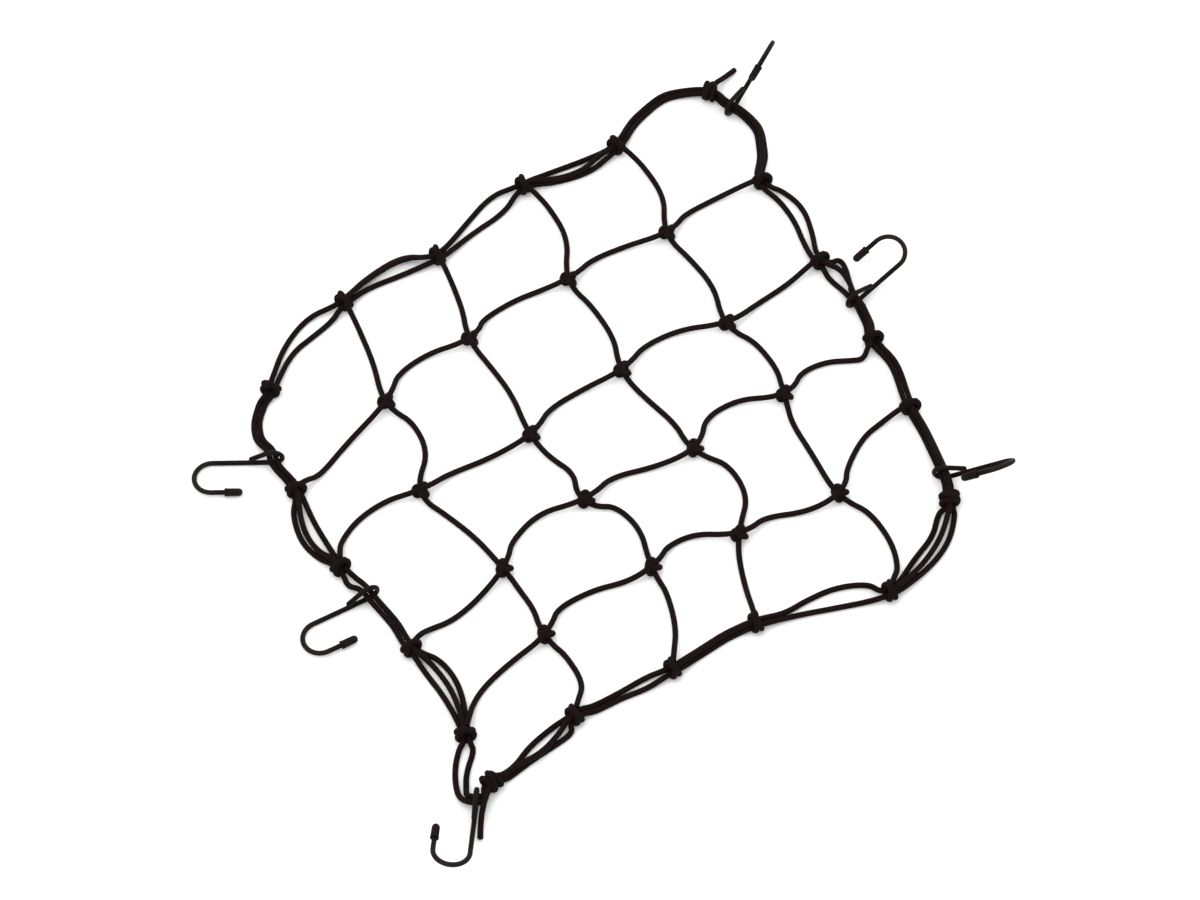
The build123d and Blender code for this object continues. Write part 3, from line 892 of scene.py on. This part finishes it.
def hitch(x, y, heading, turns, spread):
    """As t goes round once, the line makes the given number of turns about the bundle, at
    spread times sin t along it. Near the crossing on top the strand that is over is lifted
    by cos t, and the one under it is pressed down. The lift also widens the turn a little."""
    t = np.linspace(0, 2 * math.pi, 120 * turns, endpoint=False)
    turn = turns * t
    along, left = np.array(heading_vector(heading)), np.array(heading_vector(heading + 90))
    lifted = HITCH_LIFT * np.cos(t) * (0.5 + 0.5 * np.cos(turn))
    middle, half = (HITCH_LOW + HITCH_HIGH) / 2, (HITCH_HIGH - HITCH_LOW) / 2
    return (np.array([x, y, middle]) + (spread * np.sin(t))[:, None] * along
            + ((HITCH_WIDTH + 0.3 * lifted) * np.sin(turn))[:, None] * left
            + (half * np.cos(turn) + lifted)[:, None] * np.array([0, 0, 1]))


def tie(name):
    """A hitch of two turns, or of three at the corners that the mesh cord passes too."""
    x, y, heading = STATIONS[name]
    turns = 3 if name in MESH_CORD_CORNERS else 2
    line = hitch(x, y, heading, turns, HITCH_SPREAD[turns])
    return pressed_flat(tube(line, step=0.0006, closed=True))


print(f"hitches {2000 * HITCH_WIDTH:.1f} mm wide along their middle line")

# %% Tie the border
TIES = {
    "back_left": ("e1", "e2", "e3", "e4"),
    "back_right": ("e5", "e6", "e7", "e8"),
    "front_right": ("e9", "e10", "e11", "e12"),
    "front_left": ("e13", "e14", "e15", "e16"),
}
CORNERS = ("left", "top", "right", "bottom")
for place, names in TIES.items():
    piece(f"hitches_{place}", [tie(name) for name in names], border_braid,
          "net", [f"edge_knots_{place}"])
for name in CORNERS:
    piece(f"corner_hitch_{name}", [tie(name)], border_braid, "net",
          [f"corner_knot_{name}"])
print(sum(len(names) for names in TIES.values()) + len(CORNERS), "hitches on the border")

# %% [markdown]
# ## The hooks
# A hook is one length of wire, bent cold: a stub, a closed eye round the cords, a straight
# shank, half a turn, and a tip leg that ends in its cap. It is a chain of straight runs and
# arcs, so its centre line is worked out exactly and the round section is carried along it.
# The wire is 3.5 mm over its coating.


# %% The centre line of a hook
WIRE_RADIUS, EYE_INNER_RADIUS = 0.00175, 0.005
EYE_RADIUS = EYE_INNER_RADIUS + WIRE_RADIUS
EYE_BACK = EYE_RADIUS + WIRE_RADIUS
HOOK_LENGTH = 0.065
THROAT_PITCH = 0.0245  # from the middle of the shank to the middle of the tip leg
BEND_RADIUS = THROAT_PITCH / 2
TIP_SETBACK, STUB_SETBACK = 0.036, 0.025  # cap back from the bend, stub on from the eye
STUB_GAP = 0.0004  # from the stub to the shank
CAP_END = 0.0015  # thickness of the cap beyond the end of the wire


def arc(middle, first, second, radius, start, stop, step=0.05):
    """Points at middle + radius times (first cos angle + second sin angle)."""
    angle = np.linspace(start, stop, max(4, int(abs(stop - start) / step)))[:, None]
    return middle + radius * (first * np.cos(angle) + second * np.sin(angle))


def hook_line(station, heading, tilt, side, roll):
    """The line from stub through eye, shank and bend to the tip, a function for the wear at
    its points, and the outer end of the cap with the direction from it to its rim."""
    x, y, _ = STATIONS[station]
    rise, run = math.sin(math.radians(tilt)), math.cos(math.radians(tilt))
    level, eye = np.array(heading_vector(heading)), np.array([x, y, EYE_HEIGHT])
    along, up = level * run + [0, 0, rise], level * -rise + [0, 0, run]
    across = (np.array(heading_vector(heading + 90)) * side * math.cos(math.radians(roll))
              + up * math.sin(math.radians(roll)))
    stub = (STUB_SETBACK - EYE_BACK, -EYE_RADIUS + 2 * WIRE_RADIUS + STUB_GAP)
    tangent = math.atan2(stub[1], stub[0]) + math.acos(EYE_RADIUS / math.hypot(*stub))
    bend = HOOK_LENGTH - EYE_BACK - WIRE_RADIUS - BEND_RADIUS
    bottom = eye - up * EYE_RADIUS
    turn_middle = bottom + along * bend + across * BEND_RADIUS
    cap_end = bottom + along * (HOOK_LENGTH - EYE_BACK - TIP_SETBACK) + across * THROAT_PITCH
    line = np.vstack([
        eye + along * stub[0] + up * stub[1],
        arc(eye, along, up, EYE_RADIUS, tangent, 1.5 * math.pi),
        arc(turn_middle, -across, along, BEND_RADIUS, 0, math.pi),
        cap_end + along * CAP_END])

    def wear(points):
        """Most rubbed round the bend, less in the eye, and not at all on the shank."""
        fade, eye_edge = 0.008, 0.0075
        in_bend = np.clip(((points - bottom) @ along - bend) / fade + 0.6, 0, 1)
        in_eye = np.clip(1.3 - np.linalg.norm(points - eye, axis=1) / eye_edge, 0, 1) * 0.8
        return np.maximum(in_bend, in_eye)

    return line, wear, cap_end, along


print(len(hook_line(*HOOKS["left_upper"])[0]), "points on a hook's line")


# %% Wire with a rounded end
FIRST_RING = 0.00002  # the line starts this far into the rounding, so no ring is a point


def rounded_wire(line, wear):
    """The tube's first rings grow as a quarter circle: radius times the square root of one
    less the square of how far the ring is from the end of the rounding."""
    line, marks, length = even_steps(line, 0.0004)
    rounding = np.clip((marks + FIRST_RING) / WIRE_RADIUS, 0, 1)
    radius = WIRE_RADIUS * np.sqrt(1 - (1 - rounding) ** 2)
    grid = tube_grid(line, radius, carried_frame(line), sides=20)
    return skin(grid, marks, length, rubbed=wear(line))


print("wire maker ready")

# %% [markdown]
# ## The tip caps
# The cap is a moulded sleeve pushed on the tip. Turned on a lathe it would be a plain
# cylinder with a round end. The real one also has a rolled rim, a slight taper and, on each
# side, the thin line where the two halves of its mould met.


# %% Tip cap
CAP_RADIUS, CAP_LENGTH = 0.0028, 0.0125
CAP_TAPER = 0.04
RIM_LENGTH, RIM_STEP = 0.0012, 0.00034
OVERLAP = 0.0001  # the cap's mouth reaches this far into the wire
MOULD_LINE, LINE_WIDTH = 0.00009, 0.12  # its height, and its width as a sine
POLE_RADIUS = 0.00006  # a small flat in place of a point where all sides would meet
RUBBED_END = 0.004


def tip_cap(end, along):
    """A profile of distance and radius turned about the leg: a round end, a body that
    widens by 4 %, a rolled rim and the way back down to the wire. The mould line adds 0.09
    mm to the radius of the body in a narrow bell on each side."""
    nose = CAP_RADIUS * (1 - CAP_TAPER)
    quarter = np.linspace(0, math.pi / 2, 10)
    body = np.linspace(nose, CAP_LENGTH - RIM_LENGTH, 12)[1:]
    rim = np.linspace(-math.pi / 2, math.pi / 2, 9)
    away = np.concatenate([
        nose - nose * np.cos(quarter), body,
        CAP_LENGTH - RIM_LENGTH / 2 * (1 - np.sin(rim)), [CAP_LENGTH - RIM_LENGTH / 4]])
    radius = np.concatenate([
        nose * np.sin(quarter), nose * (1 + CAP_TAPER * (body - nose) / (CAP_LENGTH - nose)),
        CAP_RADIUS - OVERLAP + RIM_STEP * np.cos(rim), [WIRE_RADIUS - OVERLAP]])
    radius[0] = POLE_RADIUS
    side = unit(np.cross([0, 0, 1], along))
    up = np.cross(along, side)
    count, sides = len(away), 48
    angle = np.linspace(0, 2 * math.pi, sides, endpoint=False)
    bell = MOULD_LINE * np.exp(-(np.sin(angle) / LINE_WIDTH) ** 2)
    on_body = (away > RIM_LENGTH / 3) & (away < CAP_LENGTH - RIM_LENGTH * 1.25)
    grid = tube_grid(end + away[:, None] * along, radius[:, None] + on_body[:, None] * bell,
                     (None, np.tile(side, (count, 1)), np.tile(up, (count, 1))), sides)
    return skin(grid, away, CAP_LENGTH, rubbed=np.clip(1 - away / RUBBED_END, 0, 1))


print(f"cap {1000 * CAP_LENGTH:.1f} mm long, {2000 * CAP_RADIUS:.1f} mm across")

# %% Make the six hooks
for place, (station, heading, tilt, side, roll) in HOOKS.items():
    line, wear, cap_end, along = hook_line(station, heading, tilt, side, roll)
    wire = rounded_wire(line, wear)
    piece(f"wire_{place}", [wire], wire_finish, f"hook_{place}",
          [f"hook_wire_{place}"])
    piece(f"cap_{place}", [tip_cap(cap_end, along)], vinyl_finish,
          f"hook_{place}", [f"hook_cap_{place}"])
    print(f"hook {place}: {1000 * wire['length']:.0f} mm of wire")

# %% [markdown]
# ## Floor, light and camera
# The net lies on a plain white table under a broad soft light from above, as such goods are
# shown for sale. A second, wide light from behind draws a thin edge of sheen on the wire.
# The floor is nearly white, and only a faint shadow holds the net to it.

# %% Floor
TABLE_HALF = 4
floor_finish = Finish("white_table", specular_ior_level=0.05)
tone = floor_finish.noise(9.0, detail=2.0)
floor_finish.feed("Base Color", floor_finish.blend(tone, (0.93, 0.93, 0.93),
                                                   (0.95, 0.95, 0.95)))
floor_finish.feed("Roughness", 0.85 + tone * 0.1)
floor_mesh = bpy.data.meshes.new("floor")
floor_mesh.from_pydata([(x * TABLE_HALF, y * TABLE_HALF, 0)
                        for x, y in ((-1, -1), (1, -1), (1, 1), (-1, 1))], [], [(0, 1, 2, 3)])
floor_mesh.materials.append(floor_finish.material)
floor = bpy.data.objects.new("floor", floor_mesh)
bpy.context.scene.collection.objects.link(floor)
print("table", 2 * TABLE_HALF, "m wide")

# %% Light
world = bpy.data.worlds.new("studio")
world.use_nodes = True
background = world.node_tree.nodes["Background"]
background.inputs["Color"].default_value = (1, 1, 1, 1)
background.inputs["Strength"].default_value = 1.05
bpy.context.scene.world = world
bpy.context.scene.view_settings.view_transform = "Standard"


def soft_light(name, place, width, power):
    """A square area light of this width and power in watts that faces the net's middle."""
    light = bpy.data.lights.new(name, "AREA")
    light.shape, light.size, light.energy = "SQUARE", width, power
    lamp = bpy.data.objects.new(name, light)
    lamp.location = place
    lamp.rotation_euler = (-Vector(place)).to_track_quat("-Z", "Y").to_euler()
    bpy.context.scene.collection.objects.link(lamp)


soft_light("overhead", (-0.5, -0.3, 2.0), 1.8, 20)
soft_light("behind", (0.9, 1.6, 1.1), 1.4, 12)
print(len(bpy.data.lights), "lights and a world of strength",
      round(background.inputs["Strength"].default_value, 2))

# %% Camera
DISTANCE, ELEVATION = 2.6, math.radians(60)
SENSOR_WIDTH, SEEN_WIDTH = 36, 0.84  # mm on the sensor, metres at the net
target = Vector((-0.004, -0.002, 0))
camera_data = bpy.data.cameras.new("camera")
camera_data.sensor_width = SENSOR_WIDTH
camera_data.lens = SENSOR_WIDTH * DISTANCE / SEEN_WIDTH
camera_data.clip_start, camera_data.clip_end = 0.01, 50
camera = bpy.data.objects.new("camera", camera_data)
camera.location = target + Vector((0, -math.cos(ELEVATION), math.sin(ELEVATION))) * DISTANCE
camera.rotation_euler = (math.pi / 2 - ELEVATION, 0, 0)
bpy.context.scene.collection.objects.link(camera)
bpy.context.scene.camera = camera
print("camera at", tuple(round(value, 3) for value in camera.location))
